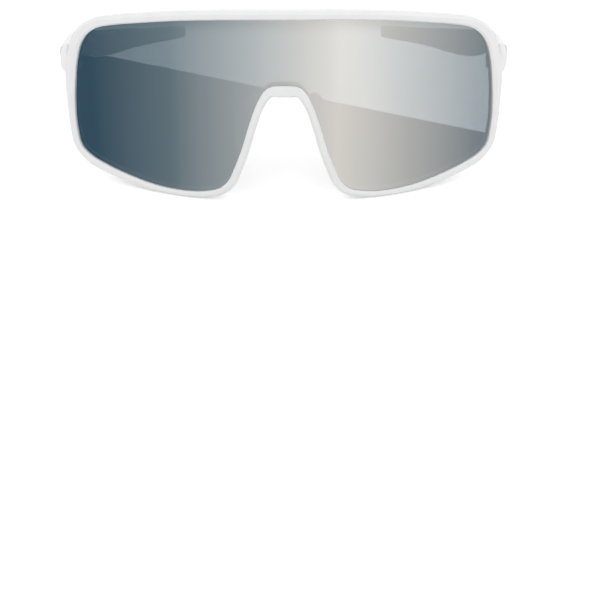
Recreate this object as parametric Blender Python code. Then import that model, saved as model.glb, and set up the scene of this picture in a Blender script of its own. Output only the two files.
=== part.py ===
"""Sports sunglasses with one wrapped shield lens in a full rim.

The glasses are modelled upright, with straight temples along +Y, and then lean back with their
temples open until the two lower lobes of the rim and the two temple tips stand on Z = 0.
The front looks along -Y, and +X is the wearer's left. Lengths are in metres.
"""

import math

import bmesh
import bpy
import numpy as np
from mathutils import Matrix, Vector

MM = 0.001

# Front: the lens lies on an upright cylinder that leans forward at its top
FACE_RADIUS = 101.0 * MM
FACE_LEAN = math.radians(11.0)
SIDE_REACH = 6.8 * MM
OPENING_HALF_WIDTH = 67.0 * MM
OPENING_RISE = 23.3 * MM
OPENING_FALL = 35.0 * MM
RIM_BAND = 3.5 * MM
RIM_DEPTH = 3.0 * MM
# one half of the opening, from the brow's middle round to the middle of the nose arch: a share of
# the half width and of the rise (above) or the fall (below), then the rim's shares there: of its
# band seen from the front, of its depth behind the lens, and of that depth at the opening's edge
OPENING_SHARES = (
    (0.000, 1.000, 0.80, 1.15, 0.45), (0.245, 0.983, 0.80, 1.15, 0.45),
    (0.507, 0.906, 0.80, 1.15, 0.45), (0.672, 0.811, 0.81, 1.12, 0.45),
    (0.791, 0.721, 0.83, 1.05, 0.45), (0.872, 0.627, 0.87, 0.95, 0.45),
    (0.922, 0.502, 0.94, 0.85, 0.45), (0.955, 0.339, 1.00, 0.85, 0.45),
    (0.979, 0.086, 1.05, 0.95, 0.45), (0.993, -0.157, 1.05, 1.00, 0.45),
    (1.000, -0.377, 0.84, 1.00, 0.50), (0.993, -0.640, 0.76, 1.00, 0.60),
    (0.975, -0.777, 0.80, 1.00, 0.70), (0.937, -0.837, 0.85, 1.00, 0.80),
    (0.858, -0.889, 0.84, 1.00, 0.90), (0.740, -0.943, 0.76, 1.00, 1.00),
    (0.627, -0.983, 0.67, 1.00, 1.00), (0.518, -1.000, 0.61, 1.00, 1.00),
    (0.430, -0.997, 0.61, 1.00, 1.00), (0.358, -0.977, 0.64, 1.00, 1.00),
    (0.303, -0.940, 0.68, 1.00, 1.00), (0.266, -0.871, 0.71, 1.00, 1.00),
    (0.231, -0.723, 0.70, 0.95, 1.00), (0.201, -0.566, 0.69, 0.93, 1.00),
    (0.164, -0.320, 0.69, 0.93, 1.00), (0.128, -0.117, 0.72, 0.93, 1.00),
    (0.107, -0.034, 0.80, 0.93, 1.00), (0.088, 0.030, 0.93, 0.93, 1.00),
    (0.063, 0.075, 1.05, 0.93, 1.00), (0.030, 0.088, 1.10, 0.93, 1.00),
    (0.000, 0.090, 1.10, 0.93, 1.00),
)
# the brow slopes down behind the lens by this share of its depth
BROW_FALL_SHARE = 0.36
# how deep the rim is behind the lens where the nose pads sit
NOSE_DEPTH_SHARE = 0.93

# Rim section: its front lip and the lens groove, with the gap between pieces that touch
FRONT_LIP = 0.9 * MM
EDGE_ROUND = 0.5 * MM
GROOVE_DEPTH = 1.5 * MM
FIT_GAP = 0.3 * MM
# how far a cutter stands off a face that it would else lie in
SLOT_RELIEF = 0.15 * MM

# Lens
LENS_THICKNESS = 1.6 * MM
LENS_STRIP = 3.0 * MM

# Hinge, on the wearer's left; the right side mirrors it
HINGE_INSET = 0.9 * MM
HINGE_X = OPENING_HALF_WIDTH - HINGE_INSET
SEAM_Y = 0.3 * MM
HINGE_AHEAD = 1.2 * MM
HINGE_Y = SEAM_Y - HINGE_AHEAD
KNUCKLE_RADIUS = 1.5 * MM
KNUCKLE_BORE = 0.9 * MM
TONGUE_HEIGHT = 2.4 * MM
PRONG_HEIGHT = 1.6 * MM
PRONG_CENTRE = 2.3 * MM
FRAME_LEAF_LENGTH = 2.6 * MM
ANCHOR_LENGTH = 1.6 * MM
ANCHOR_HEIGHT = 1.6 * MM
ANCHOR_REACH = 1.8 * MM
TEMPLE_LEAF_LENGTH = 8.2 * MM
LEAF_THICKNESS = 1.3 * MM
KNUCKLE_WEB = 1.9 * MM
PIN_RADIUS = 0.6 * MM
PIN_HEAD_RADIUS = 1.2 * MM
PIN_HEAD_HEIGHT = 0.6 * MM
LEAF_SCREW_Y = 4.9 * MM
LEAF_SCREW_SPACING = 3.6 * MM
LEAF_SCREW_RADIUS = 0.5 * MM
LEAF_SCREW_BORE = 0.8 * MM
LEAF_SCREW_HEAD_RADIUS = 1.05 * MM
LEAF_SCREW_HEAD_HEIGHT = 0.5 * MM
LEAF_SCREW_LENGTH = 2.6 * MM

# Endpiece
LUG_HEIGHT = 8.6 * MM
LUG_WIDTH = 4.2 * MM
LUG_REACH = 5.6 * MM
# how far in front of the seam, its height, and its inner and outer face beside the inner face of
# the temple's front end, each a share of the size above that it follows
LUG_SHARES = (
    (1.00, 1.15, 0.28, 0.42),
    (0.60, 1.12, 0.00, 0.74),
    (0.25, 1.04, 0.00, 0.93),
    (0.00, 1.00, 0.00, 1.00),
    (-0.64, 1.00, 0.00, 1.00),
)
SEAM_SLOPE = math.radians(29.0)
SEAM_GAP = 0.3 * MM

# Temple
TEMPLE_LENGTH = 124.5 * MM
TEMPLE_BOW = 32.0 * MM
TEMPLE_DROP = 9.0 * MM
TEMPLE_HEIGHT = 9.4 * MM
TEMPLE_THICKNESS = 4.2 * MM
# distance behind the seam, inward bow, drop, height and thickness, each a share of its size
TEMPLE_SHARES = (
    (-0.040, 0.000, 0.000, 0.90, 1.00),
    (0.000, 0.000, 0.000, 0.90, 1.00),
    (0.063, -0.004, -0.005, 0.89, 0.99),
    (0.119, -0.008, -0.010, 0.88, 0.92),
    (0.190, -0.004, -0.015, 0.84, 0.87),
    (0.252, 0.003, 0.000, 0.79, 0.86),
    (0.333, 0.028, 0.080, 0.84, 0.88),
    (0.397, 0.069, 0.245, 0.97, 0.98),
    (0.450, 0.112, 0.400, 1.00, 1.00),
    (0.516, 0.175, 0.520, 1.00, 1.00),
    (0.619, 0.297, 0.645, 0.92, 0.96),
    (0.706, 0.410, 0.725, 0.80, 0.91),
    (0.780, 0.540, 0.800, 0.69, 0.86),
    (0.849, 0.675, 0.860, 0.61, 0.81),
    (0.920, 0.825, 0.925, 0.56, 0.76),
    (0.972, 0.940, 0.970, 0.52, 0.72),
    (1.000, 1.000, 1.000, 0.46, 0.62),
)
SECTION_SQUARENESS = 3.2
ARM_LEAD_SHARE = 1 / 30
TIP_ROUND_SHARE = 0.6
# the slanted crease where the ear grip begins: its place behind the seam and its slopes
CREASE_Y = 47.7 * MM
CREASE_RISE_SHARE = 0.64
CREASE_SCARF_SHARE = 3.2
CREASE_OVERRUN = 10.5 * MM
# the tang inside the ear grip's sleeve
TANG_LENGTH = 45.3 * MM
TANG_LEAD = 6.0 * MM
SLEEVE_WALL = 1.0 * MM
SLEEVE_END_GAP = 0.8 * MM

# Truss pockets on the temple's inner side: the ribs zigzag between these shares of the stretch
TRUSS_START = 11.5 * MM
TRUSS_PAST_CREASE = 1.9 * MM
TRUSS_END = CREASE_Y + TRUSS_PAST_CREASE
TRUSS_SHARES = (0.00, 0.07, 0.14, 0.23, 0.34, 0.46, 0.60, 0.77, 1.00)
TRUSS_RIB = 1.1 * MM
TRUSS_MARGIN = 1.1 * MM
POCKET_DEPTH = 1.1 * MM

# Side panel groove on the temple's outer side
PANEL_START = 3.0 * MM
PANEL_END = 29.8 * MM
PANEL_HEIGHT = 5.4 * MM
PANEL_THICKNESS = 0.7 * MM
PANEL_SLOPE_SHARE = 0.45

# Scoop and dimple on the ear grip
SCOOP_BEHIND = 12.0 * MM
SCOOP_RISE = 1.2 * MM
SCOOP_TILT = math.radians(15.0)
SCOOP_LENGTH = 20.0 * MM
SCOOP_HEIGHT = 5.2 * MM
SCOOP_DEPTH = 0.45 * MM
SCOOP_ROUND = 2.4 * MM
DIMPLE_BEHIND = 25.3 * MM
DIMPLE_RISE = 1.3 * MM
DIMPLE_RADIUS = 0.8 * MM
DIMPLE_DEPTH = 0.5 * MM

# Nose pads: the ends of their root line as shares of the opening's half width and fall
PAD_TOP_SHARES = (0.110, 0.100)
PAD_LOW_SHARES = (0.190, 0.630)
PAD_ROOT_WIDTH = 3.2 * MM
PAD_TIP_WIDTH = 1.5 * MM
PAD_REACH = 9.0 * MM
PAD_FLARE = 5.0 * MM
PAD_END_SHARE = 0.45
PAD_SEAT = 3.2 * MM
PEG_RADIUS = 0.6 * MM
PEG_LENGTH = 2.4 * MM
PEG_ROOT = 1.5 * MM

# Standing pose
REST_FLAT = 0.25 * MM
MOST_LEAN = math.radians(40.0)
LEAN_HALVINGS = 60

# How far a cutter runs past what it cuts
OVERRUN = 2.0 * MM

# Fineness: sides of round pieces, points of sections, stations and steps along curves
ROUND_SIDES = 20
BORE_SIDES = 16
HOLE_SIDES = 12
SHANK_SIDES = 10
SECTION_POINTS = 16
RIM_STATIONS = 216
ARM_STATIONS = 16
SLEEVE_STATIONS = 30
SEAM_STATIONS = 6
TANG_STATIONS = 12
SLEEVE_BORE_STATIONS = 14
PAD_SECTIONS = 9
CURVE_STEPS = 24
PATH_STEPS = 400
SCOOP_FINENESS = 3
SHARP_ANGLE = math.radians(35.0)

FINISHES = {
    "frame": ((0.88, 0.88, 0.87, 1.0), 0.25, 0.0),
    "grip": ((0.84, 0.84, 0.83, 1.0), 0.45, 0.0),
    "pad": ((0.80, 0.81, 0.81, 1.0), 0.35, 0.0),
    "lens": ((0.10, 0.15, 0.19, 1.0), 0.06, 0.6),
    "steel": ((0.05, 0.05, 0.055, 1.0), 0.35, 0.9),
    "nickel": ((0.62, 0.62, 0.60, 1.0), 0.30, 1.0),
    "panel": ((0.80, 0.81, 0.81, 1.0), 0.35, 0.0),
}


def clear_scene():
    for obj in list(bpy.data.objects):
        bpy.data.objects.remove(obj, do_unlink=True)


def finish(kind, name):
    """A material of the given kind for one piece."""
    colour, roughness, metallic = FINISHES[kind]
    material = bpy.data.materials.new(name + "_finish")
    material.use_nodes = True
    shader = material.node_tree.nodes["Principled BSDF"]
    shader.inputs["Base Color"].default_value = colour
    shader.inputs["Roughness"].default_value = roughness
    shader.inputs["Metallic"].default_value = metallic
    material.diffuse_color = colour
    return material


# Curves and surfaces


def spline_rows(rows, places, count, closed):
    """Rows at even steps along a smooth curve through the given rows, whose first columns are places."""
    rows = np.array(rows, float)
    total = len(rows)
    if closed:
        rows = np.vstack([rows[-2:], rows, rows[:3]])
    steps = np.linalg.norm(np.diff(rows[:, :places], axis=0), axis=1)
    along = np.concatenate([[0.0], np.cumsum(steps)])
    slopes = np.gradient(rows, along, axis=0)
    first, last = (2, 2 + total) if closed else (0, total - 1)
    dense = []
    for k in range(first, last):
        span = along[k + 1] - along[k]
        for t in np.linspace(0.0, 1.0, CURVE_STEPS, endpoint=False):
            dense.append(
                (2 * t**3 - 3 * t**2 + 1) * rows[k]
                + (t**3 - 2 * t**2 + t) * span * slopes[k]
                + (3 * t**2 - 2 * t**3) * rows[k + 1]
                + (t**3 - t**2) * span * slopes[k + 1]
            )
    dense.append(rows[last])
    dense = np.array(dense)
    gone = np.linalg.norm(np.diff(dense[:, :places], axis=0), axis=1)
    gone = np.concatenate([[0.0], np.cumsum(gone)])
    at = np.linspace(0.0, gone[-1], count, endpoint=not closed)
    return np.column_stack([np.interp(at, gone, column) for column in dense.T])


def face_depth(x):
    """How far the lens's outer face lies behind its foremost line at this distance from the middle."""
    return FACE_RADIUS - math.sqrt(FACE_RADIUS**2 - x**2)


def on_face(x, h, out=0.0, back=0.0):
    """A point of the leaning front: x across, h up along it, out along its normal, back behind it."""
    sine = x / FACE_RADIUS
    cosine = math.sqrt(1.0 - sine**2)
    reach = face_depth(OPENING_HALF_WIDTH) + SIDE_REACH
    depth = face_depth(x) - reach - out * cosine + back
    across = x + out * sine
    return Vector((
        across,
        depth * math.cos(FACE_LEAN) - h * math.sin(FACE_LEAN),
        h * math.cos(FACE_LEAN) + depth * math.sin(FACE_LEAN),
    ))


def half_opening():
    """Half of the lens opening with the rim's band and its outer and inner depth at each point."""
    return [
        (
            OPENING_HALF_WIDTH * x, (OPENING_RISE if h > 0 else OPENING_FALL) * h,
            RIM_BAND * band, RIM_DEPTH * depth, RIM_DEPTH * depth * edge,
        )
        for x, h, band, depth, edge in OPENING_SHARES
    ]


def rim_stations():
    """Stations round the opening: x, h, band, depths and the direction outward in the face."""
    half = half_opening()
    other = [(-x, *rest) for x, *rest in half[1:-1]]
    rows = spline_rows(half + other[::-1], 2, RIM_STATIONS, True)
    ahead = np.roll(rows[:, :2], -1, axis=0) - np.roll(rows[:, :2], 1, axis=0)
    ahead /= np.linalg.norm(ahead, axis=1)[:, None]
    return [(*row, -across[1], across[0]) for row, across in zip(rows, ahead)]


# Mesh helpers


def new_object(name, mesh_maker, kind, parent=None, axis=None, turned=False):
    """An object from a filled bmesh, smooth but for its sharp edges, held by an empty if given."""
    mesh = bpy.data.meshes.new(name)
    if not turned:
        bmesh.ops.recalc_face_normals(mesh_maker, faces=mesh_maker.faces)
    mesh_maker.to_mesh(mesh)
    mesh_maker.free()
    mesh.shade_smooth()
    mesh.set_sharp_from_angle(angle=SHARP_ANGLE)
    obj = bpy.data.objects.new(name, mesh)
    bpy.context.scene.collection.objects.link(obj)
    if kind:
        mesh.materials.append(finish(kind, name))
    if parent:
        obj.parent = parent
        if axis:
            obj.matrix_parent_inverse = Matrix.Translation(axis).inverted()
    return obj


def loft(rings, around=False):
    """A closed skin over rings of points; around joins the last ring to the first."""
    maker = bmesh.new()
    loops = [[maker.verts.new(point) for point in ring] for ring in rings]
    pairs = list(zip(loops, loops[1:] + loops[:1])) if around else list(zip(loops, loops[1:]))
    for one, two in pairs:
        for k in range(len(one)):
            after = (k + 1) % len(one)
            maker.faces.new((one[k], one[after], two[after], two[k]))
    if not around:
        maker.faces.new(loops[0])
        maker.faces.new(loops[-1])
    return maker


def box(low, high):
    maker = bmesh.new()
    bmesh.ops.create_cube(maker, size=1.0)
    low, high = Vector(low), Vector(high)
    size = high - low
    for vert in maker.verts:
        vert.co = Vector(c * s for c, s in zip(vert.co, size)) + (low + high) / 2
    return maker


def rod(centre, direction, radius, length, sides=ROUND_SIDES):
    """A round rod along a direction, with its middle at the centre."""
    maker = bmesh.new()
    bmesh.ops.create_cone(
        maker, cap_ends=True, segments=sides, radius1=radius, radius2=radius, depth=length
    )
    turn = Vector((0.0, 0.0, 1.0)).rotation_difference(Vector(direction)).to_matrix().to_4x4()
    bmesh.ops.transform(maker, matrix=Matrix.Translation(centre) @ turn, verts=maker.verts)
    return maker


def cut_off(maker, point, normal):
    """Cuts a closed mesh by a plane and closes the cut, keeping the side that the normal leaves."""
    geometry = maker.verts[:] + maker.edges[:] + maker.faces[:]
    found = bmesh.ops.bisect_plane(
        maker, geom=geometry, dist=0.0, plane_co=point, plane_no=normal, clear_outer=True
    )
    edges = [item for item in found["geom_cut"] if isinstance(item, bmesh.types.BMEdge)]
    bmesh.ops.holes_fill(maker, edges=edges)


def combine(obj, maker, operation, label):
    """Joins a hidden helper to an object, or cuts it away."""
    helper = new_object(obj.name + "_" + label, maker, None, obj.parent)
    helper.matrix_parent_inverse = obj.matrix_parent_inverse.copy()
    helper.hide_render = True
    helper.display_type = "WIRE"
    modifier = obj.modifiers.new(label, "BOOLEAN")
    modifier.operation = operation
    modifier.solver = "EXACT"
    modifier.object = helper
    return helper


def both_sides(obj, make, operation, label):
    """Joins or cuts the helper that a function makes on the left, and its mirror image."""
    combine(obj, make(), operation, "left_" + label)
    maker = make()
    for vert in maker.verts:
        vert.co.x = -vert.co.x
    combine(obj, maker, operation, "right_" + label)


def mirrored(obj, name, parent, axis=None):
    """The same piece on the wearer's right, with its cuts made."""
    graph = bpy.context.evaluated_depsgraph_get()
    mesh = bpy.data.meshes.new_from_object(obj.evaluated_get(graph))
    maker = bmesh.new()
    maker.from_mesh(mesh)
    for vert in maker.verts:
        vert.co.x = -vert.co.x
    bmesh.ops.reverse_faces(maker, faces=maker.faces[:])
    kind = obj["kind"]
    other_axis = Vector((-axis.x, axis.y, axis.z)) if axis else None
    copy = new_object(name, maker, kind, parent, other_axis, turned=True)
    copy["kind"] = kind
    bpy.data.meshes.remove(mesh)
    return copy


def piece(name, maker, kind, parent, axis=None):
    obj = new_object(name, maker, kind, parent, axis)
    obj["kind"] = kind
    return obj


# Front


def rim_section(x, h, band, depth, edge_depth, out_x, out_h):
    """The rim's section: rounded band outside, lens groove inside, deepened straight back."""
    groove_front = FIT_GAP
    groove_back = -LENS_THICKNESS - FIT_GAP
    front = groove_front + FRONT_LIP
    fall = BROW_FALL_SHARE * max(out_h, 0.0)

    def at(reach, out, back=0.0):
        return on_face(x + out_x * reach, h + out_h * reach - fall * back, out, back)

    return [
        at(0.0, front - EDGE_ROUND),
        at(EDGE_ROUND, front),
        at(band - EDGE_ROUND - EDGE_ROUND, front),
        at(band, front - EDGE_ROUND - EDGE_ROUND),
        at(band, groove_back, depth - EDGE_ROUND),
        at(band - EDGE_ROUND, groove_back, depth),
        at(EDGE_ROUND, groove_back, edge_depth),
        at(0.0, groove_back, edge_depth - EDGE_ROUND),
        at(0.0, groove_back),
        at(GROOVE_DEPTH, groove_back),
        at(GROOVE_DEPTH, groove_front),
        at(0.0, groove_front),
    ]


def seam_plane(side):
    """A point and a normal of the slanted seam between endpiece and temple."""
    normal = Vector((0.0, math.cos(SEAM_SLOPE), math.sin(SEAM_SLOPE)))
    middle = Vector((HINGE_X, SEAM_Y, 0.0)) + normal * (side * SEAM_GAP / 2)
    return middle, normal


def inner_face_x():
    return HINGE_X + KNUCKLE_RADIUS + FIT_GAP


def lug_maker():
    """The endpiece, from the rim's upper corner back to the slanted seam."""
    rings = []
    for ahead, height, inner, outer in LUG_SHARES:
        centre_x = inner_face_x() + LUG_WIDTH * (inner + outer) / 2
        half_width = LUG_WIDTH * (outer - inner) / 2
        ring = []
        for k in range(SECTION_POINTS):
            turn = 2 * math.pi * k / SECTION_POINTS
            ring.append((
                centre_x + half_width * squared(math.cos(turn)),
                SEAM_Y - LUG_REACH * ahead,
                LUG_HEIGHT * height / 2 * squared(math.sin(turn)),
            ))
        rings.append(ring)
    maker = loft(rings)
    point, normal = seam_plane(-1)
    cut_off(maker, point, normal)
    return maker


def squared(value):
    """The sine or cosine of a squarish round."""
    return math.copysign(abs(value) ** (2.0 / SECTION_SQUARENESS), value)


def temple_room():
    """The room behind the slanted seam that the temple's front end needs."""
    maker = temple_loft(-LUG_REACH, LUG_REACH, 3, -FIT_GAP, -FIT_GAP)
    point, normal = seam_plane(-1)
    cut_off(maker, point - normal * SLOT_RELIEF, -normal)
    return maker


def knuckle_room():
    """The room that the hinge knuckles and the screw head turn in."""
    height = 2 * (PRONG_CENTRE + PRONG_HEIGHT / 2 + PIN_HEAD_HEIGHT + 2 * FIT_GAP + SLOT_RELIEF)
    radius = KNUCKLE_RADIUS + FIT_GAP + 2 * SLOT_RELIEF
    return rod((HINGE_X, HINGE_Y, 0.0), (0, 0, 1), radius, height)


def build_front(root):
    stations = rim_stations()
    frame = piece(
        "front_frame", loft([rim_section(*row) for row in stations], True), "frame", root
    )
    both_sides(frame, temple_room, "DIFFERENCE", "temple_room")
    both_sides(frame, lug_maker, "UNION", "endpiece")
    # pockets that the hinge leaves are anchored in
    both_sides(frame, lambda: box(*anchor_box(FIT_GAP)), "DIFFERENCE", "anchor")
    low, high = tongue_box(FIT_GAP)
    high.y += OVERRUN
    high.x += SLOT_RELIEF
    low.x -= OVERRUN
    both_sides(frame, lambda: box(low, high), "DIFFERENCE", "slot")
    both_sides(frame, knuckle_room, "DIFFERENCE", "knuckle_room")
    both_sides(frame, lambda: peg_maker(PEG_RADIUS, PEG_LENGTH), "UNION", "peg")
    piece("shield_lens", lens_maker(stations), "lens", root)
    return frame


def lens_maker(stations):
    """The lens: the groove's outline less its clearance, cut into strips and wrapped."""
    inset = GROOVE_DEPTH - FIT_GAP
    maker = bmesh.new()
    outline = [
        maker.verts.new((x + out_x * inset, 0.0, h + out_h * inset))
        for x, h, _, _, _, out_x, out_h in stations
    ]
    maker.faces.new(outline)
    strips = int(OPENING_HALF_WIDTH / LENS_STRIP)
    for k in range(-strips, strips + 1):
        bmesh.ops.bisect_plane(
            maker,
            geom=maker.verts[:] + maker.edges[:] + maker.faces[:],
            dist=0.0,
            plane_co=(k * LENS_STRIP, 0.0, 0.0),
            plane_no=(1.0, 0.0, 0.0),
        )
    grown = bmesh.ops.extrude_face_region(maker, geom=maker.faces[:])
    back = {item for item in grown["geom"] if isinstance(item, bmesh.types.BMVert)}
    for vert in maker.verts:
        out = -LENS_THICKNESS if vert in back else 0.0
        vert.co = on_face(vert.co.x, vert.co.z, out)
    bmesh.ops.triangulate(maker, faces=maker.faces[:])
    return maker


# Nose pads


def pad_seat_point(share):
    """A place on the pad's root line, from its top end to its lower end."""
    across, down = (
        top + (low - top) * share for top, low in zip(PAD_TOP_SHARES, PAD_LOW_SHARES)
    )
    return OPENING_HALF_WIDTH * across, -OPENING_FALL * down


def peg_maker(radius, length):
    """A peg on the rim's back, on the left, that the nose pad is pushed onto."""
    x, h = pad_seat_point(0.5)
    rear = -LENS_THICKNESS - FIT_GAP
    base = on_face(x, h, rear, RIM_DEPTH * NOSE_DEPTH_SHARE - PEG_ROOT)
    tip = on_face(x, h, rear, RIM_DEPTH * NOSE_DEPTH_SHARE + length)
    return rod((base + tip) / 2, tip - base, radius, (tip - base).length, HOLE_SIDES)


def build_nose_pads(root):
    rings = []
    rear = -LENS_THICKNESS - FIT_GAP
    for k in range(PAD_SECTIONS):
        share = k / (PAD_SECTIONS - 1)
        x, h = pad_seat_point(share)
        swell = PAD_END_SHARE + (1 - PAD_END_SHARE) * math.sin(math.pi * share)
        root_half, tip_half = PAD_ROOT_WIDTH / 2, PAD_TIP_WIDTH / 2
        reach, flare = PAD_REACH * swell, PAD_FLARE * swell
        seat = RIM_DEPTH * NOSE_DEPTH_SHARE + FIT_GAP
        corners = (
            (-root_half, seat), (root_half, seat), (root_half, seat + PAD_SEAT * swell),
            (flare + tip_half, seat + reach), (flare, seat + reach + tip_half),
            (flare - tip_half, seat + reach), (-tip_half, seat + PAD_SEAT * swell),
        )
        rings.append([
            on_face(x, h, rear, back) + Vector((across, 0.0, 0.0)) for across, back in corners
        ])
    pad = piece("nose_pad_left", loft(rings), "pad", root)
    combine(pad, peg_maker(PEG_RADIUS + FIT_GAP, PEG_LENGTH + FIT_GAP), "DIFFERENCE", "peg_hole")
    mirrored(pad, "nose_pad_right", root)


# Temples


def temple_rows(start, end, count):
    """Rows of the temple between two distances: middle, height and thickness at each."""
    rows = []
    for along, bow, drop, height, thickness in TEMPLE_SHARES:
        thick = TEMPLE_THICKNESS * thickness
        first = TEMPLE_THICKNESS * TEMPLE_SHARES[1][4]
        x = inner_face_x() + first - TEMPLE_BOW * bow - thick / 2
        rows.append((
            x, SEAM_Y + TEMPLE_LENGTH * along, -TEMPLE_DROP * drop, TEMPLE_HEIGHT * height, thick
        ))
    dense = spline_rows(rows, 3, PATH_STEPS, False)
    at = np.linspace(SEAM_Y + start, SEAM_Y + end, count)
    return np.column_stack([np.interp(at, dense[:, 1], column) for column in dense.T])


def temple_loft(start, end, count, less=0.0, less_thick=0.0, taper_end=False):
    """A stretch of the temple's form, drawn in all round where less is given."""
    rows = temple_rows(start, end, count)
    path = rows[:, :3]
    ahead = np.gradient(path, axis=0)
    rings = []
    for (x, y, z, height, thick), step in zip(rows, ahead):
        forward = Vector(step).normalized()
        across = forward.cross(Vector((0.0, 0.0, 1.0))).normalized()
        up = across.cross(forward)
        ring = []
        for k in range(SECTION_POINTS):
            turn = 2 * math.pi * k / SECTION_POINTS
            ring.append(
                Vector((x, y, z))
                + across * ((thick / 2 - less_thick) * squared(math.cos(turn)))
                + up * ((height / 2 - less) * squared(math.sin(turn)))
            )
        rings.append(ring)
    if taper_end:
        centre = sum(rings[-1], Vector()) / SECTION_POINTS
        forward = Vector(ahead[-1]).normalized() * EDGE_ROUND
        rings.append([centre + (point - centre) * TIP_ROUND_SHARE + forward for point in rings[-1]])
    return loft(rings)


def crease_plane(side):
    """The slanted seam between the temple and its ear grip."""
    normal = Vector((CREASE_SCARF_SHARE, 1.0, -CREASE_RISE_SHARE)).normalized()
    x, y, z, _, _ = temple_rows(CREASE_Y, CREASE_Y + OVERRUN, 2)[0]
    return Vector((x, y, z)) + normal * (side * FIT_GAP / 2), normal


def leaf_maker(direction, length, thickness, height):
    """A hinge leaf in plan: a knuckle round the axis, its web, and a plate along the direction."""
    radius = KNUCKLE_RADIUS
    web = radius - KNUCKLE_WEB
    sweep = 2 * math.pi - math.acos(web / radius)
    outline = [(radius, length), (radius, 0.0)]
    for k in range(1, ROUND_SIDES):
        turn = -sweep * k / ROUND_SIDES
        outline.append((radius * math.cos(turn), radius * math.sin(turn)))
    rear = radius * math.sin(-sweep)
    step = radius + FIT_GAP + KNUCKLE_WEB / 2
    outline.append((web, rear))
    if thickness < KNUCKLE_WEB:
        outline += [(web, step), (radius - thickness, step + KNUCKLE_WEB / 2)]
    outline.append((radius - thickness, length))
    rings = [
        [(HINGE_X + across, HINGE_Y + direction * along, z) for across, along in outline]
        for z in (-height / 2, height / 2)
    ]
    return loft(rings)


def tongue_box(gap):
    """The corners of the frame leaf's tongue, grown by a gap."""
    outer = HINGE_X + KNUCKLE_RADIUS
    grow = Vector((gap, gap, gap))
    low = Vector((outer - KNUCKLE_WEB, HINGE_Y - FRAME_LEAF_LENGTH, -TONGUE_HEIGHT / 2))
    return low - grow, Vector((outer, HINGE_Y, TONGUE_HEIGHT / 2)) + grow


def anchor_box(gap):
    face = inner_face_x()
    front = HINGE_Y - FRAME_LEAF_LENGTH
    return (
        (HINGE_X + KNUCKLE_RADIUS - LEAF_THICKNESS / 2, front - gap, -ANCHOR_HEIGHT / 2 - gap),
        (face + ANCHOR_REACH + gap, front + ANCHOR_LENGTH + gap, ANCHOR_HEIGHT / 2 + gap),
    )


def truss_pockets():
    """Triangles between the ribs of the temple's inner side, alternately upright and hanging."""
    ribs = [TRUSS_START + (TRUSS_END - TRUSS_START) * share for share in TRUSS_SHARES]
    pockets = []
    for k in range(len(ribs) - 2):
        side = 1 if k % 2 else -1
        corners = (
            (ribs[k] + TRUSS_RIB, -side), (ribs[k + 1], side), (ribs[k + 2] - TRUSS_RIB, -side)
        )
        low, high = [], []
        for along, end in corners:
            x, y, z, height, thick = temple_rows(along, along + OVERRUN, 2)[0]
            up = z + end * (height / 2 - TRUSS_MARGIN)
            low.append((x - thick / 2 - OVERRUN, y, up))
            high.append((x - thick / 2 + POCKET_DEPTH, y, up))
        pockets.append(loft([low, high]))
    return pockets


def build_temple(axis_empty, axis):
    """The left temple: its arm with the truss pockets, and the tang that the ear grip sits on."""
    arm = temple_loft(
        -TEMPLE_LENGTH * ARM_LEAD_SHARE, CREASE_Y + CREASE_OVERRUN, ARM_STATIONS
    )
    point, normal = seam_plane(1)
    cut_off(arm, point, -normal)
    crease, crease_normal = crease_plane(-1)
    cut_off(arm, crease, crease_normal)
    temple = piece("temple_left", arm, "frame", axis_empty, axis)
    wall = SLEEVE_WALL + FIT_GAP
    tang = temple_loft(CREASE_Y - TANG_LEAD, CREASE_Y + TANG_LENGTH, TANG_STATIONS, wall, wall)
    combine(temple, tang, "UNION", "tang")
    for k, pocket in enumerate(truss_pockets()):
        combine(temple, pocket, "DIFFERENCE", f"pocket_{k + 1}")
    for side, label in ((1, "upper_screw_hole"), (-1, "lower_screw_hole")):
        place = leaf_screw_place(side, inner_face_x())
        hole = rod(place, (1, 0, 0), LEAF_SCREW_BORE, 2 * LEAF_SCREW_LENGTH, HOLE_SIDES)
        combine(temple, hole, "DIFFERENCE", label)
    combine(temple, panel_maker(FIT_GAP, OVERRUN), "DIFFERENCE", "panel_recess")
    return temple


def build_ear_grip(axis_empty, axis):
    """The left ear grip: a soft sleeve over the tang, from the crease to the temple's tip."""
    start = CREASE_Y - CREASE_OVERRUN
    sleeve = temple_loft(start, TEMPLE_LENGTH, SLEEVE_STATIONS, taper_end=True)
    grip = piece("ear_grip_left", sleeve, "grip", axis_empty, axis)
    arm_room = temple_loft(
        start - OVERRUN, CREASE_Y + CREASE_OVERRUN, SEAM_STATIONS, -OVERRUN, -OVERRUN
    )
    crease, crease_normal = crease_plane(1)
    cut_off(arm_room, crease, crease_normal)
    combine(grip, arm_room, "DIFFERENCE", "seam")
    bore = temple_loft(
        start - OVERRUN, CREASE_Y + TANG_LENGTH + SLEEVE_END_GAP, SLEEVE_BORE_STATIONS,
        SLEEVE_WALL, SLEEVE_WALL,
    )
    combine(grip, bore, "DIFFERENCE", "bore")
    combine(grip, scoop_maker(), "DIFFERENCE", "scoop")
    surface, across, _, up = outer_place(CREASE_Y + DIMPLE_BEHIND)
    dimple = rod(surface + up * DIMPLE_RISE, across, DIMPLE_RADIUS, 2 * DIMPLE_DEPTH, HOLE_SIDES)
    combine(grip, dimple, "DIFFERENCE", "dimple")
    return grip


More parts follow.
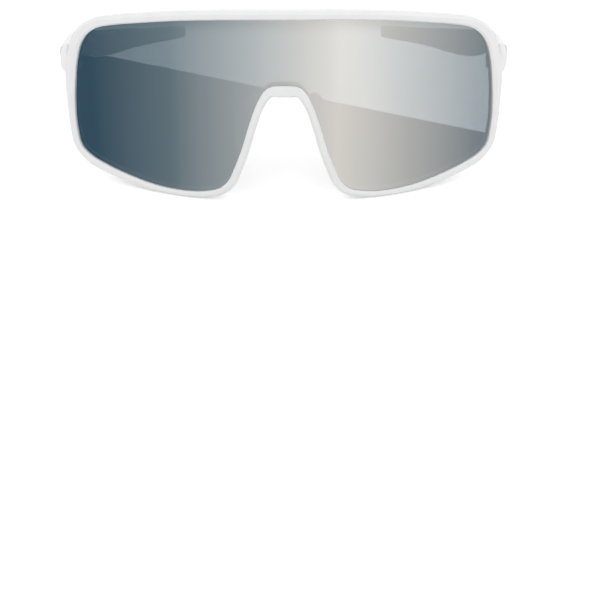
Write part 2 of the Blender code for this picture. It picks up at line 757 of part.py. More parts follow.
def panel_maker(gap, rise):
    """The thin panel let into the temple's outer side; gap and rise grow it into its recess."""
    rings = []
    for along in (PANEL_START - gap, PANEL_END + gap):
        x, y, z, _, thick = temple_rows(along, along + OVERRUN, 2)[0]
        half = PANEL_HEIGHT / 2 + gap
        outer = x + thick / 2
        slant = PANEL_SLOPE_SHARE * half
        rings.append([
            (outer - PANEL_THICKNESS - gap, y + slant, z - half),
            (outer + rise, y + slant, z - half),
            (outer + rise, y - slant, z + half),
            (outer - PANEL_THICKNESS - gap, y - slant, z + half),
        ])
    return loft(rings)


def outer_place(along):
    """A place on the temple's outer side with the directions outward, rearward and upward there."""
    near, far = temple_rows(along, along + OVERRUN, 2)
    forward = Vector(far[:3] - near[:3]).normalized()
    across = forward.cross(Vector((0.0, 0.0, 1.0))).normalized()
    return Vector(near[:3]) + across * (near[4] / 2), across, forward, across.cross(forward)


def scoop_maker():
    """A shallow hollow in the grip's outer side, behind the seam."""
    surface, across, forward, up = outer_place(CREASE_Y + SCOOP_BEHIND)
    maker = bmesh.new()
    bmesh.ops.create_icosphere(maker, subdivisions=SCOOP_FINENESS, radius=1.0)
    # the hollow's outline is where the ellipsoid meets the grip's surface
    outline_share = math.sqrt(1.0 - (1.0 - SCOOP_DEPTH / SCOOP_ROUND) ** 2)
    place = surface + across * (SCOOP_ROUND - SCOOP_DEPTH) + up * SCOOP_RISE
    tilt = Matrix.Rotation(SCOOP_TILT, 3, across)
    forward, up = tilt @ forward, tilt @ up
    for vert in maker.verts:
        vert.co = (
            place
            + across * (vert.co.x * SCOOP_ROUND)
            + forward * (vert.co.y * SCOOP_LENGTH / 2 / outline_share)
            + up * (vert.co.z * SCOOP_HEIGHT / 2 / outline_share)
        )
    return maker


# Hinge


def pin_bore():
    """The bore for the hinge screw, through every knuckle."""
    return rod((HINGE_X, HINGE_Y, 0.0), (0, 0, 1), KNUCKLE_BORE, PRONG_CENTRE * 4, BORE_SIDES)


def leaf_screw_place(side, x):
    """A point on the axis of the upper (1) or lower (-1) leaf screw."""
    return x, HINGE_Y + LEAF_SCREW_Y, side * LEAF_SCREW_SPACING / 2


def build_hinge(root, axis_empty, axis):
    """The left hinge: a tongue on the endpiece between two prongs on the temple, and a screw."""
    x, y = HINGE_X, HINGE_Y
    outer = x + KNUCKLE_RADIUS
    tongue = leaf_maker(-1, FRAME_LEAF_LENGTH, KNUCKLE_WEB, TONGUE_HEIGHT)
    frame_leaf = piece("hinge_frame_leaf_left", tongue, "steel", root)
    combine(frame_leaf, box(*anchor_box(0.0)), "UNION", "anchor")
    combine(frame_leaf, pin_bore(), "DIFFERENCE", "bore")

    top = PRONG_CENTRE + PRONG_HEIGHT / 2
    clevis = leaf_maker(1, TEMPLE_LEAF_LENGTH, LEAF_THICKNESS, 2 * top)
    temple_leaf = piece("hinge_temple_leaf_left", clevis, "nickel", axis_empty, axis)
    slot = TONGUE_HEIGHT / 2 + FIT_GAP
    mouth = KNUCKLE_RADIUS + OVERRUN
    gate = box(
        (x - mouth, y - mouth, -slot), (x + mouth, y + KNUCKLE_RADIUS + FIT_GAP, slot)
    )
    combine(temple_leaf, gate, "DIFFERENCE", "tongue_slot")
    combine(temple_leaf, pin_bore(), "DIFFERENCE", "bore")
    for side in (1, -1):
        place = leaf_screw_place(side, outer)
        hole = rod(place, (1, 0, 0), LEAF_SCREW_BORE, 4 * LEAF_THICKNESS, HOLE_SIDES)
        combine(temple_leaf, hole, "DIFFERENCE", "upper_hole" if side > 0 else "lower_hole")

    head_base = top + FIT_GAP
    pin = rod((x, y, head_base + PIN_HEAD_HEIGHT / 2), (0, 0, 1), PIN_HEAD_RADIUS, PIN_HEAD_HEIGHT)
    screw = piece("hinge_screw_left", pin, "nickel", root)
    shank_length = head_base + top + PIN_HEAD_HEIGHT / 2
    shank = rod(
        (x, y, head_base + PIN_HEAD_HEIGHT / 2 - shank_length / 2), (0, 0, 1),
        PIN_RADIUS, shank_length, BORE_SIDES,
    )
    combine(screw, shank, "UNION", "shank")

    leaf_screws = []
    for side, label in ((1, "upper"), (-1, "lower")):
        head_x = outer - LEAF_THICKNESS - FIT_GAP - LEAF_SCREW_HEAD_HEIGHT / 2
        head = rod(
            leaf_screw_place(side, head_x), (1, 0, 0), LEAF_SCREW_HEAD_RADIUS,
            LEAF_SCREW_HEAD_HEIGHT, BORE_SIDES,
        )
        leaf_screw = piece(f"leaf_screw_{label}_left", head, "nickel", axis_empty, axis)
        length = LEAF_SCREW_LENGTH + LEAF_THICKNESS - FIT_GAP
        shank = rod(
            leaf_screw_place(side, head_x + length / 2), (1, 0, 0), LEAF_SCREW_RADIUS, length,
            SHANK_SIDES,
        )
        combine(leaf_screw, shank, "UNION", "shank")
        leaf_screws.append(leaf_screw)
    return frame_leaf, screw, temple_leaf, leaf_screws


# Standing pose


def lowest(points, lean):
    """The least height of points once they lean back by an angle about X."""
    return min(-math.sin(lean) * point.y + math.cos(lean) * point.z for point in points)


def standing_lean(front_points, tip_points):
    """The angle at which the rim's lobes and the temple tips reach down equally far."""
    low, high = 0.0, MOST_LEAN
    for _ in range(LEAN_HALVINGS):
        middle = (low + high) / 2
        if lowest(front_points, middle) < lowest(tip_points, middle):
            low = middle
        else:
            high = middle
    return low


def hinge_empties(root, axis):
    """Empties on the two hinge axes, which hold what turns with each temple."""
    empties = []
    for side, name in ((1, "left"), (-1, "right")):
        empty = bpy.data.objects.new(f"temple_axis_{name}", None)
        bpy.context.scene.collection.objects.link(empty)
        empty.parent = root
        empty.location = (side * axis.x, axis.y, axis.z)
        empties.append(empty)
    return empties


def stand(root, frame, grip):
    """Leans all back until rim and tips stand level, and cuts the small flats that they stand on."""
    front_points = [vert.co for vert in frame.data.vertices]
    tip_points = [vert.co for vert in grip.data.vertices]
    lean = standing_lean(front_points, tip_points)
    turn = Matrix.Rotation(-lean, 3, "X")
    rows = [turn @ point for point in front_points + tip_points]
    front_y = min(row.y for row in rows)
    back_y = max(row.y for row in rows)
    root.rotation_euler = (-lean, 0.0, 0.0)
    root.location = (
        0.0, -(front_y + back_y) / 2, -lowest(front_points, lean) - REST_FLAT
    )
    bpy.context.view_layer.update()
    span = back_y - front_y
    for obj in (frame, grip):
        floor = box((-span, -span, -OVERRUN * 4), (span, span, 0.0))
        helper = combine(obj, floor, "DIFFERENCE", "rest_flats")
        helper.parent = None
        helper.matrix_parent_inverse.identity()
    bpy.context.view_layer.update()


def main():
    clear_scene()
    root = bpy.data.objects.new("glasses", None)
    bpy.context.scene.collection.objects.link(root)
    axis = Vector((HINGE_X, HINGE_Y, 0.0))
    left, right = hinge_empties(root, axis)

    frame = build_front(root)
    temple = build_temple(left, axis)
    grip = build_ear_grip(left, axis)
    panel = piece("side_panel_left", panel_maker(0.0, 0.0), "panel", left, axis)
    frame_leaf, screw, temple_leaf, leaf_screws = build_hinge(root, left, axis)
    stand(root, frame, grip)
    build_nose_pads(root)
    bpy.context.view_layer.update()

    mirrored(frame_leaf, "hinge_frame_leaf_right", root)
    mirrored(screw, "hinge_screw_right", root)
    for obj in (temple_leaf, *leaf_screws, temple, grip, panel):
        mirrored(obj, obj.name.replace("_left", "_right"), right, axis)


main()
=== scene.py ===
"""Looks of the sports sunglasses: finishes, finer pieces, the studio and the photograph's front camera.

The glasses stand on their rim and temple tips at z = 0, with the lens towards -Y. Lengths are in metres.
"""

import math

import bmesh
import bpy
from mathutils import Euler, Matrix, Vector


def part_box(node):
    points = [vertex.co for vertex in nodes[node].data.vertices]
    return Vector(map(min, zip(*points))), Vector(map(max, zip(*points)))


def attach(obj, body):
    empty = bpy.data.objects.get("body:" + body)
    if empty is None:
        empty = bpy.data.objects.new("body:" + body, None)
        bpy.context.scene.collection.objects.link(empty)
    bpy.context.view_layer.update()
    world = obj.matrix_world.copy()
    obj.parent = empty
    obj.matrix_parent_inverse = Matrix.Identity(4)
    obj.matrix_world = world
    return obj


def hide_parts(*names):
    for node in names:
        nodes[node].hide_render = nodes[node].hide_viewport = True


MM = 0.001
SIDES = ("left", "right")

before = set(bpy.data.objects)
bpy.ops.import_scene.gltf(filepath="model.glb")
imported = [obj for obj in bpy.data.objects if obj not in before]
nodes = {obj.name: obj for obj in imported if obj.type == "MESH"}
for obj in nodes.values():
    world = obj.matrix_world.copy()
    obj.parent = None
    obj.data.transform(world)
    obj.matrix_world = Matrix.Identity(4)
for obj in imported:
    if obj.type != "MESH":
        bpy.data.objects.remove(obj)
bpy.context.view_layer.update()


# Helpers


class Nodes:
    """A node tree, with short calls for its patterns and its maths."""

    def __init__(self, tree):
        self.tree = tree

    def put(self, socket, value):
        """Links a socket to a node's output, or sets it to a constant."""
        if isinstance(value, bpy.types.NodeSocket):
            self.tree.links.new(value, socket)
        else:
            socket.default_value = value

    def add(self, kind, output, inputs, **settings):
        """An output of a new node; inputs go by the socket's name or number."""
        node = self.tree.nodes.new(kind)
        for key, setting in settings.items():
            setattr(node, key, setting)
        for key, value in inputs.items():
            self.put(node.inputs[key], value)
        return node.outputs[output]

    def place(self, kind):
        """Where a point lies, in the given kind of coordinates."""
        return self.add("ShaderNodeTexCoord", kind, {})

    def parts(self, vector):
        node = self.tree.nodes.new("ShaderNodeSeparateXYZ")
        self.put(node.inputs["Vector"], vector)
        return node.outputs["X"], node.outputs["Y"], node.outputs["Z"]

    def rays(self):
        return self.tree.nodes.new("ShaderNodeLightPath").outputs

    def math(self, operation, one, two):
        return self.add("ShaderNodeMath", "Value", {0: one, 1: two}, operation=operation)

    def rise(self, value, low, high):
        """0 below low and 1 above high, with a smooth rise between."""
        inputs = {"Value": value, "From Min": low, "From Max": high}
        return self.add("ShaderNodeMapRange", "Result", inputs, interpolation_type="SMOOTHSTEP")

    def fall(self, value, low, high):
        """1 below low and 0 above high, with a smooth fall between."""
        return self.math("SUBTRACT", 1.0, self.rise(value, low, high))

    def spread(self, value, low, high):
        """Maps a value from 0..1 onto low..high."""
        return self.add("ShaderNodeMapRange", "Result", {"Value": value, "To Min": low, "To Max": high})

    def mix(self, share, one, two):
        """One colour at share 0, the other at share 1."""
        one, two = ((*colour, 1.0) if isinstance(colour, tuple) else colour for colour in (one, two))
        return self.add("ShaderNodeMix", 2, {"Factor": share, 6: one, 7: two}, data_type="RGBA")

    def ramp(self, value, stops):
        """A colour ramp over a value; stops are (position, colour)."""
        node = self.tree.nodes.new("ShaderNodeValToRGB")
        elements = node.color_ramp.elements
        while len(elements) < len(stops):
            elements.new(1.0)
        for element, (position, colour) in zip(elements, stops):
            element.position = position
            element.color = (*colour, 1.0)
        self.put(node.inputs["Fac"], value)
        return node.outputs["Color"]


class Finish(Nodes):
    """A material whose shader takes constants on its own sockets and patterns by links."""

    def __init__(self, name):
        self.material = bpy.data.materials.new(name)
        self.material.use_nodes = True
        super().__init__(self.material.node_tree)
        self.shader = self.tree.nodes["Principled BSDF"]

    def set(self, **values):
        """Links or constants of the shader, by socket name with underscores for spaces."""
        for key, value in values.items():
            self.put(self.shader.inputs[key.replace("_", " ")], value)

    def noise(self, cells, detail=3.0, stretch=(1.0, 1.0, 1.0)):
        """A noise of so many cells a metre, with the cells along each axis times stretch."""
        place = self.add("ShaderNodeMapping", "Vector", {"Vector": self.place("Object"), "Scale": stretch})
        return self.add("ShaderNodeTexNoise", "Fac", {"Vector": place, "Scale": cells, "Detail": detail})

    def tones(self, pattern, shade, light, edges=(0.3, 0.7)):
        """Base colour from shade to light, as the pattern goes from one edge to the other."""
        self.set(Base_Color=self.ramp(pattern, tuple(zip(edges, (shade, light)))))

    def bump(self, height, distance, strength=1.0):
        inputs = {"Height": height, "Distance": distance, "Strength": strength}
        self.set(Normal=self.add("ShaderNodeBump", "Normal", inputs))


def add_object(name, data):
    """A new object of the scene."""
    made = bpy.data.objects.new(name, data)
    bpy.context.scene.collection.objects.link(made)
    return made


def mesh_from(shape, name):
    """A mesh of a bmesh, which is freed."""
    mesh = bpy.data.meshes.new(name)
    shape.to_mesh(mesh)
    shape.free()
    return mesh


def stand_in(piece, body, node_name):
    """Puts a finer piece on its body, in place of a node of the construction."""
    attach(piece, body)
    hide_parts(node_name)


# Finishes

PLASTIC_IOR = 1.5
SILICONE_IOR = 1.43
RIB_WAVES = 230.0
RIB_SLANT = math.radians(-38.0)
RIB_DEPTH = 0.12 * MM
MIRROR_SHARE = 0.62


def moulded_plastic(name, shade, light, roughness, grain):
    """Moulded white plastic: faint mottling, uneven gloss and the fine orange peel of its mould."""
    made = Finish(name)
    made.tones(made.noise(cells=180.0), shade, light, edges=(0.35, 0.65))
    made.set(
        Roughness=made.spread(made.noise(cells=900.0, detail=4.0), *roughness), IOR=PLASTIC_IOR,
        Subsurface_Weight=0.12, Subsurface_Scale=1.5 * MM, Subsurface_Radius=(1.0, 0.9, 0.8),
    )
    made.bump(made.noise(cells=5200.0, detail=2.0), grain)
    return made


def white_frame():
    made = moulded_plastic(
        "white_frame", shade=(0.875, 0.877, 0.878), light=(0.90, 0.90, 0.90),
        roughness=(0.19, 0.30), grain=0.004 * MM,
    )
    made.set(Coat_Weight=0.2, Coat_Roughness=0.1)
    return made.material


def white_grip():
    return moulded_plastic(
        "white_grip", shade=(0.855, 0.857, 0.857), light=(0.88, 0.88, 0.875),
        roughness=(0.37, 0.48), grain=0.008 * MM,
    ).material


def ribbed_panel():
    """The side panel: white, with fine ribs that slant across it, and painted shade in the ribs' grooves.
    """
    made = Finish("ribbed_panel")
    inputs = {"Vector": made.place("Object"), "Rotation": (RIB_SLANT, 0.0, 0.0)}
    slanted = made.add("ShaderNodeMapping", "Vector", inputs)
    ribs = made.add(
        "ShaderNodeTexWave", "Fac", {"Vector": slanted, "Scale": RIB_WAVES},
        wave_type="BANDS", bands_direction="Y",
    )
    # darker colour where the ribs dip: painted shade in the grooves along the rib relief
    made.tones(ribs, shade=(0.85, 0.855, 0.86), light=(0.90, 0.90, 0.90), edges=(0.2, 0.7))
    made.set(Roughness=made.spread(made.noise(cells=1200.0), low=0.28, high=0.42), IOR=PLASTIC_IOR)
    made.bump(ribs, RIB_DEPTH, strength=0.6)
    return made.material


def silicone():
    """The nose pads' pale, slightly translucent silicone."""
    made = Finish("clear_silicone")
    made.tones(made.noise(cells=260.0), shade=(0.80, 0.81, 0.81), light=(0.87, 0.88, 0.88))
    made.set(
        Roughness=made.spread(made.noise(cells=1500.0), low=0.34, high=0.5), IOR=SILICONE_IOR,
        Subsurface_Weight=0.4, Subsurface_Scale=2.0 * MM, Subsurface_Radius=(1.0, 0.95, 0.9),
    )
    made.bump(made.noise(cells=4200.0), 0.01 * MM)
    return made.material


def steel(name, shade, light, roughness):
    """Metal with the fine lengthwise brushing of a turned or rolled part."""
    made = Finish(name)
    brushed = made.noise(cells=1500.0, detail=2.0, stretch=(1.0, 0.3, 8.0))
    made.tones(brushed, shade, light)
    made.set(Roughness=made.spread(brushed, *roughness), Metallic=1.0)
    made.bump(brushed, 0.003 * MM)
    return made.material


def mirror_coat():
    """The lens's outer face: a silver mirror coat that lets some light through to the tint."""
    made = Finish("mirror_coat")
    made.tones(made.noise(cells=30.0, detail=1.0), shade=(0.83, 0.855, 0.88), light=(0.85, 0.865, 0.88))
    made.set(Roughness=0.0, Metallic=MIRROR_SHARE, Transmission_Weight=1.0, IOR=PLASTIC_IOR)
    return made.material


def lens_tint():
    """The lens's inner face: the slate tint under the coat."""
    made = Finish("lens_tint")
    made.tones(
        made.noise(cells=40.0, detail=1.0), shade=(0.0070, 0.0088, 0.0100), light=(0.0078, 0.0096, 0.0108)
    )
    made.set(
        Roughness=0.0, Transmission_Weight=1.0, IOR=PLASTIC_IOR, Specular_Tint=(0.80, 0.97, 1.0, 1.0)
    )
    return made.material


def make_finishes():
    """The material and the slot of each kind of node, by how the nodes' names begin."""
    dark = steel(
        "dark_steel", shade=(0.025, 0.025, 0.03), light=(0.05, 0.05, 0.055), roughness=(0.33, 0.46)
    )
    satin = steel(
        "satin_steel", shade=(0.80, 0.80, 0.81), light=(0.88, 0.88, 0.88), roughness=(0.29, 0.42)
    )
    screws = steel(
        "screw_steel", shade=(0.28, 0.28, 0.29), light=(0.40, 0.40, 0.41), roughness=(0.23, 0.36)
    )
    finishes = {
        "front_frame": (white_frame(), "white_frame"),
        "shield_lens": (mirror_coat(), "mirrored_lens"),
        "nose_pad": (silicone(), "clear_silicone"),
        "ear_grip": (white_grip(), "white_grip"),
        "side_panel": (ribbed_panel(), "white_panel"),
        "hinge_frame_leaf": (dark, "dark_steel"),
        "hinge": (satin, "satin_steel"),
        "leaf_screw": (screws, "satin_steel"),
    }
    finishes["temple"] = finishes["front_frame"]
    return finishes


# Smooth skin of the construction

SHARP_ANGLE = math.radians(38.0)
WELD = 0.002 * MM


def smooth_tree():
    """Geometry nodes that weld a faceted solid and shade it smooth between its sharp edges."""
    tree = bpy.data.node_groups.new("smooth_skin", "GeometryNodeTree")
    tree.interface.new_socket("Geometry", in_out="INPUT", socket_type="NodeSocketGeometry")
    tree.interface.new_socket("Geometry", in_out="OUTPUT", socket_type="NodeSocketGeometry")
    skin = Nodes(tree)
    start = skin.add("NodeGroupInput", "Geometry", {})
    mesh = skin.add("GeometryNodeMergeByDistance", "Geometry", {"Geometry": start, "Distance": WELD})
    mesh = skin.add("GeometryNodeSetShadeSmooth", "Geometry", {"Geometry": mesh})
    angle = skin.add("GeometryNodeInputMeshEdgeAngle", "Unsigned Angle", {})
    sharp = skin.add(
        "FunctionNodeCompare", "Result", {"A": angle, "B": SHARP_ANGLE}, operation="GREATER_THAN"
    )
    inputs = {"Geometry": mesh, "Selection": sharp, "Shade Smooth": False}
    mesh = skin.add("GeometryNodeSetShadeSmooth", "Geometry", inputs, domain="EDGE")
    tree.links.new(mesh, tree.nodes.new("NodeGroupOutput").inputs["Geometry"])
    return tree


def add_skin(piece, skin):
    piece.modifiers.new("smooth_skin", "NODES").node_group = skin


def dress(finishes, skin):
    """Gives each node of the construction its finish and a smooth skin."""
    for name, node in nodes.items():
        kind = next(key for key in finishes if name.startswith(key))
        material, slot = finishes[kind]
        node.data.materials.clear()
        node.data.materials.append(material)
        add_skin(node, skin)


# Lens and side panels, grown until they take up most of their play; the lens grows about a point on the
# axis that its curve goes round

LENS_PLAY = 0.26 * MM
LENS_RADIUS = 101.0 * MM
LENS_CENTRE = Vector((0.0, 0.024, 0.030))
PANEL_PLAY = 0.22 * MM


def grown_copy(name, node_name, body, growth, centre, skin):
    """A finer piece in place of a node: its shape, grown about a centre."""
    mesh = nodes[node_name].data.copy()
    mesh.transform(
        Matrix.Translation(centre) @ Matrix.Diagonal((*growth, 1.0)) @ Matrix.Translation(-centre)
    )
    piece = add_object(name, mesh)
    add_skin(piece, skin)
    stand_in(piece, body, node_name)
    return piece


def snug_lens(coat, skin):
    """The lens against the rim's lip, with a coat on its outer side and a tint on its inner side."""
    growth = (1.0 + LENS_PLAY / LENS_RADIUS,) * 3
    piece = grown_copy("snug_lens", "shield_lens", "front", growth, LENS_CENTRE, skin)
    piece.data.materials.clear()
    piece.data.materials.append(coat)
    piece.data.materials.append(lens_tint())
    for face in piece.data.polygons:
        face.material_index = 1 if face.normal.y > 0.0 else 0


def snug_panels(skin):
    """The side panels, which fill their recesses."""
    for side in SIDES:
        node_name = f"side_panel_{side}"
        low, high = (Vector(corner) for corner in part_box(node_name))
        size = high - low
        growth = (1.0, 1.0 + 2.0 * PANEL_PLAY / size.y, 1.0 + 2.0 * PANEL_PLAY / size.z)
        grown_copy(
            f"snug_panel_{side}", node_name, f"{side}_temple", growth,
            (low + high) / 2, skin,
        )


# Leaf screws with a cross recess; a face belongs to the head's end if it faces inwards and lies near it

HEAD_FACING = 0.9
HEAD_DEPTH = 0.1 * MM
CROSS_SIZE = (1.3 * MM, 0.3 * MM, 0.6 * MM)
CROSS_TURN = math.radians(20.0)


def welded(node_name):
    """A node's mesh as a bmesh with its corners joined."""
    shape = bmesh.new()
    shape.from_mesh(nodes[node_name].data)
    bmesh.ops.remove_doubles(shape, verts=shape.verts, dist=WELD)
    return shape


def cut(piece, cutter):
    """Takes a cutter's shape out of a piece."""
    tool = add_object("cutter", cutter)
    difference = piece.modifiers.new("cut", "BOOLEAN")
    difference.object = tool
    difference.solver = "EXACT"
    result = bpy.data.meshes.new_from_object(piece.evaluated_get(bpy.context.evaluated_depsgraph_get()))
    piece.modifiers.remove(difference)
    piece.data = result
    bpy.data.objects.remove(tool)


def crossed_screw(name, node_name, body, inward):
    """A leaf screw with a cross recess in its head, which faces inwards along X."""
    shape = welded(node_name)
    shape.normal_update()
    ends = [face for face in shape.faces if face.normal.x * inward > HEAD_FACING]
    top = max(face.calc_center_median().x * inward for face in ends)
    head = [face for face in ends if face.calc_center_median().x * inward > top - HEAD_DEPTH]
    facing = sum((face.normal * face.calc_area() for face in head), Vector()).normalized()
    # a dict keeps the points' order, so the sum and the cuts come out the same each run
    points = dict.fromkeys(point for face in head for point in face.verts)
    middle = sum((point.co for point in points), Vector()) / len(points)
    mesh = mesh_from(shape, name)
    mesh.materials.append(nodes[node_name].data.materials[0])
    piece = add_object(name, mesh)
    stand = Matrix.Translation(middle) @ facing.to_track_quat("Z", "Y").to_matrix().to_4x4()
    for turn in (CROSS_TURN, CROSS_TURN + math.pi / 2):
        bar = bmesh.new()
        bmesh.ops.create_cube(bar, size=1.0)
        bar.transform(stand @ Matrix.Rotation(turn, 4, "Z") @ Matrix.Diagonal((*CROSS_SIZE, 1.0)))
        cut(piece, mesh_from(bar, "cross"))
    stand_in(piece, body, node_name)


def cross_screws():
    for side, inward in zip(SIDES, (-1.0, 1.0)):
        for level in ("upper", "lower"):
            crossed_screw(
                f"crossed_screw_{level}_{side}", f"leaf_screw_{level}_{side}", f"{side}_temple", inward
            )


# Soft pieces

PAD_GRAIN = 0.2 * MM
PAD_SMOOTHING = 0.5
PAD_ROUNDS = 24
GRIP_ROUNDED_ANGLE = math.radians(35.0)
GRIP_ROUNDING = 0.4 * MM
GRIP_STEPS = 3
GRIP_TIP_REACH = 6.0 * MM


def soft_pad(side, material):
    """A finer nose pad with softly rounded edges."""
    node_name = f"nose_pad_{side}"
    piece = add_object(f"soft_nose_pad_{side}", nodes[node_name].data.copy())
    piece.data.materials.clear()
    piece.data.materials.append(material)
    remesh = piece.modifiers.new("even_skin", "REMESH")
    remesh.mode = "VOXEL"
    remesh.voxel_size = PAD_GRAIN
    remesh.use_smooth_shade = True
    smoothing = piece.modifiers.new("soft_edges", "SMOOTH")
    smoothing.factor = PAD_SMOOTHING
    smoothing.iterations = PAD_ROUNDS
    stand_in(piece, "front", node_name)


def rounded_grip(side, material, skin):
    """A finer ear grip: the same form, clean along its seam, with the edges of its tip rounded."""
    node_name = f"ear_grip_{side}"
    shape = welded(node_name)
    weight = shape.edges.layers.float.new("bevel_weight_edge")
    tip = max(point.co.y for point in shape.verts) - GRIP_TIP_REACH
    for edge in shape.edges:
        at_tip = min(point.co.y for point in edge.verts) > tip
        if at_tip and edge.calc_face_angle(0.0) > GRIP_ROUNDED_ANGLE:
            edge[weight] = 1.0
    mesh = mesh_from(shape, f"soft_ear_grip_{side}")
    mesh.materials.append(material)
    piece = add_object(f"soft_ear_grip_{side}", mesh)
    rounding = piece.modifiers.new("round_edges", "BEVEL")
    rounding.width = GRIP_ROUNDING
    rounding.segments = GRIP_STEPS
    rounding.limit_method = "WEIGHT"
    add_skin(piece, skin)
    stand_in(piece, f"{side}_temple", node_name)


# Camera of the front view: where it stands from the front's middle, and which way it looks

FOCAL_SHARE = 3.3175
FRONT_MIDDLE = Vector((0.0, -0.04717, 0.03210))
STAND_DISTANCE = 0.6455
STAND_TURN = math.radians(-0.18)
STAND_RISE = math.radians(21.06)
LOOK_TURN = math.radians(-0.69)
LOOK_RISE = math.radians(27.56)
LOOK_ROLL = math.radians(0.16)
SENSOR = 36.0


def from_front(turn, rise):
    """The direction from the glasses towards a viewer who stands turned and raised by two angles."""
    return Vector((
        math.sin(turn) * math.cos(rise), -math.cos(turn) * math.cos(rise), math.sin(rise)
    ))


def make_camera():
    """The photograph's front view. The glasses stand high in it, so the camera looks below them."""
    data = bpy.data.cameras.new("camera")
    data.sensor_width = SENSOR
    data.lens = SENSOR * FOCAL_SHARE
    camera = add_object("camera", data)
    camera.location = FRONT_MIDDLE + from_front(STAND_TURN, STAND_RISE) * STAND_DISTANCE
    turn = (-from_front(LOOK_TURN, LOOK_RISE)).to_track_quat("-Z", "Y")
    camera.rotation_mode = "QUATERNION"
    camera.rotation_quaternion = turn @ Euler((0.0, 0.0, LOOK_ROLL)).to_quaternion()
    bpy.context.scene.camera = camera


# World: what a mirror sees below the horizon is a graded card, by the bearing from -90 to 90 degrees;
# the fades are by the height of the direction, and behind by its share along +Y

# the dark card that sharp mirrors see below the horizon, also the painted shade of the table card seen
# through the lens
DARK_CARD_AND_PAINTED_SHADE = (0.035, 0.055, 0.072)
GRADED_CARD = (
    (0.06, (0.05, 0.105, 0.15)),
    (0.25, (0.17, 0.235, 0.27)),
    (0.43, (0.53, 0.555, 0.55)),
    (0.62, (1.00, 0.94, 0.86)),
    (0.77, (0.64, 0.63, 0.60)),
    (0.96, (0.27, 0.31, 0.33)),
)
CARD_STRENGTH = 1.2
CARD_FADE_NEAR = (-0.92, -0.75)
CARD_FADE_FAR = (-0.22, -0.08)
CARD_FADE_BEHIND = (0.05, 0.45)
HORIZON_FADE = (-0.01, 0.01)
SOFT_WORLD = 0.91


def make_world():
    """White all round, with the graded card where sharp mirrors look down."""
    world = bpy.data.worlds.new("studio")
    bpy.context.scene.world = world
    world.use_nodes = True
    stage = Nodes(world.node_tree)
    background = world.node_tree.nodes["Background"]
    rays = stage.rays()
    x, y, z = stage.parts(stage.place("Generated"))
    bearing = stage.math("ARCTAN2", x, stage.math("MULTIPLY", y, -1.0))
    card = stage.ramp(stage.math("ADD", stage.math("DIVIDE", bearing, math.pi), 0.5), GRADED_CARD)
    graded = stage.math("MULTIPLY", stage.rise(z, *CARD_FADE_NEAR), stage.fall(z, *CARD_FADE_FAR))
    below = stage.mix(graded, DARK_CARD_AND_PAINTED_SHADE, card)
    elsewhere = stage.math("MAXIMUM", stage.rise(z, *HORIZON_FADE), stage.rise(y, *CARD_FADE_BEHIND))
    white = (1.0 / CARD_STRENGTH,) * 3
    mirrored = stage.mix(elsewhere, below, white)
    sharp = stage.math("MULTIPLY", rays["Is Glossy Ray"], rays["Is Singular Ray"])
    stage.put(background.inputs["Color"], stage.mix(sharp, white, mirrored))
    shown = stage.math("MAXIMUM", rays["Is Glossy Ray"], rays["Is Transmission Ray"])
    shown = stage.math("MAXIMUM", rays["Is Camera Ray"], shown)
    strength = stage.spread(shown, SOFT_WORLD * CARD_STRENGTH, CARD_STRENGTH)
    stage.put(background.inputs["Strength"], strength)


# Floor

FLOOR_SIZE = 8.0
FLOOR_DEPTH = 0.1 * MM
FLOOR_WHITE = 0.88
FLOOR_ROUGHNESS = 0.9
FLOOR_GLOW = 0.35


def stage_plane(name, depth):
    """A plane of the stage, with the nodes of its paint."""
    bpy.ops.mesh.primitive_plane_add(size=FLOOR_SIZE, location=(0.0, 0.0, -depth))
    plane = bpy.context.object
    plane.name = name
    material = bpy.data.materials.new(name + "_paint")
    material.use_nodes = True
    plane.data.materials.append(material)
    return plane, Nodes(material.node_tree)


def make_floor():
    """A white floor that shows as white and keeps a soft shadow."""
    floor, paint = stage_plane("floor", FLOOR_DEPTH)
    floor.visible_glossy = False
    floor.visible_transmission = False
    inputs = paint.tree.nodes["Principled BSDF"].inputs
    inputs["Base Color"].default_value = (FLOOR_WHITE, FLOOR_WHITE, FLOOR_WHITE, 1.0)
    inputs["Roughness"].default_value = FLOOR_ROUGHNESS
    inputs["Specular IOR Level"].default_value = 0.0
    inputs["Emission Color"].default_value = (1.0, 1.0, 1.0, 1.0)
    glow = paint.math("MULTIPLY", paint.rays()["Is Camera Ray"], FLOOR_GLOW)
    paint.put(inputs["Emission Strength"], glow)


# Table card seen through the lens alone: white painted light beyond a straight edge behind the lens, dark
# painted shade elsewhere

TABLE_EDGE_LEFT = Vector((-0.0770, 0.0606, 0.0))
TABLE_EDGE_RIGHT = Vector((0.0706, -0.0213, 0.0))
TABLE_EDGE_FADE = 1.0 * MM
# how the painted light fades to painted shade further back and at the sides, how strong it is, and where
# it grows brighter to the right
TABLE_PAINTED_SHADE_FADE = (0.076, 0.108)
TABLE_SIDE = (0.11, 0.14)
TABLE_PAINTED_LIGHT = (3.2, 5.5)
TABLE_PAINTED_LIGHT_RISE = (0.014, 0.034)


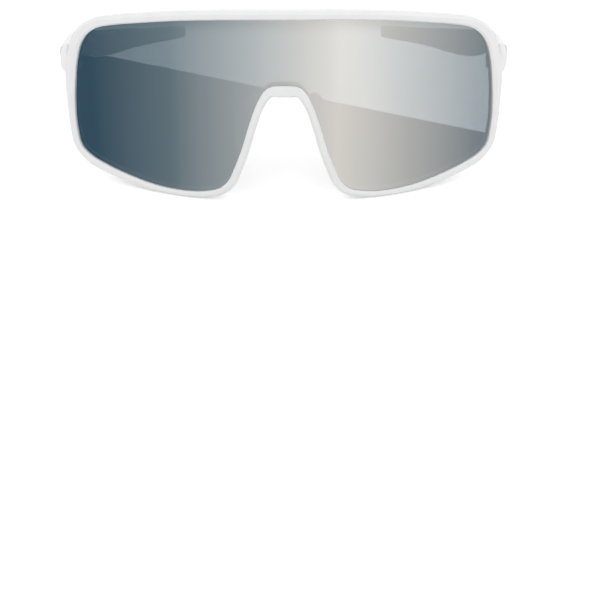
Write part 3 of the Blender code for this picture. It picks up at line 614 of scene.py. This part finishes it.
def make_painted_table():
    """The table as the lens lets it through: painted light, stronger than white because the lens dims it,
    and painted shade.
    """
    card, paint = stage_plane("painted_table_card", FLOOR_DEPTH / 2)
    for flag in ("camera", "diffuse", "glossy", "shadow", "volume_scatter"):
        setattr(card, "visible_" + flag, False)
    x, y, _ = paint.parts(paint.place("Object"))
    along = (TABLE_EDGE_RIGHT - TABLE_EDGE_LEFT).normalized()
    across = Vector((-along.y, along.x, 0.0))
    beyond = paint.math(
        "ADD", paint.math("MULTIPLY", x, across.x),
        paint.math("SUBTRACT", paint.math("MULTIPLY", y, across.y), TABLE_EDGE_LEFT.dot(across)),
    )
    # the painted light fades further back, as painted shade under the brow, and at the sides
    inside = paint.math(
        "MULTIPLY", paint.fall(y, *TABLE_PAINTED_SHADE_FADE), paint.fall(paint.math("ABSOLUTE", x, 0.0), *TABLE_SIDE)
    )
    share = paint.math("MULTIPLY", paint.rise(beyond, 0.0, TABLE_EDGE_FADE), inside)
    # painted light, stronger than white and brighter to the right
    light = paint.spread(paint.rise(x, *TABLE_PAINTED_LIGHT_RISE), *TABLE_PAINTED_LIGHT)
    extra = paint.math("MULTIPLY", share, paint.math("SUBTRACT", light, 1.0))
    # painted shade in the dark colour, painted light in the white
    inputs = {
        "Color": paint.mix(share, DARK_CARD_AND_PAINTED_SHADE, (1.0, 1.0, 1.0)), "Strength": paint.math("ADD", 1.0, extra)
    }
    glow = paint.add("ShaderNodeEmission", "Emission", inputs)
    paint.put(paint.tree.nodes["Material Output"].inputs["Surface"], glow)


# Lamps: the place, the side and the watts of each

LAMP_AIM = Vector((0.0, 0.0, 0.03))
LAMPS = {
    "key": (Vector((-0.5, -0.7, 1.1)), 0.9, 1.0),
    "fill": (Vector((0.9, -0.2, 0.7)), 0.8, 0.6),
}


def make_lamps():
    for name, (place, side, watts) in LAMPS.items():
        data = bpy.data.lights.new(name, "AREA")
        data.shape = "RECTANGLE"
        data.size = data.size_y = side
        data.energy = watts
        lamp = add_object(name, data)
        lamp.location = place
        lamp.rotation_mode = "QUATERNION"
        lamp.rotation_quaternion = (LAMP_AIM - place).to_track_quat("-Z", "Y")


finishes = make_finishes()
smooth_skin = smooth_tree()
dress(finishes, smooth_skin)
snug_lens(finishes["shield_lens"][0], smooth_skin)
snug_panels(smooth_skin)
cross_screws()
for side in SIDES:
    soft_pad(side, finishes["nose_pad"][0])
    rounded_grip(side, finishes["ear_grip"][0], smooth_skin)
make_world()
make_floor()
make_painted_table()
make_lamps()
make_camera()

scene = bpy.context.scene
scene.view_settings.view_transform = "Standard"
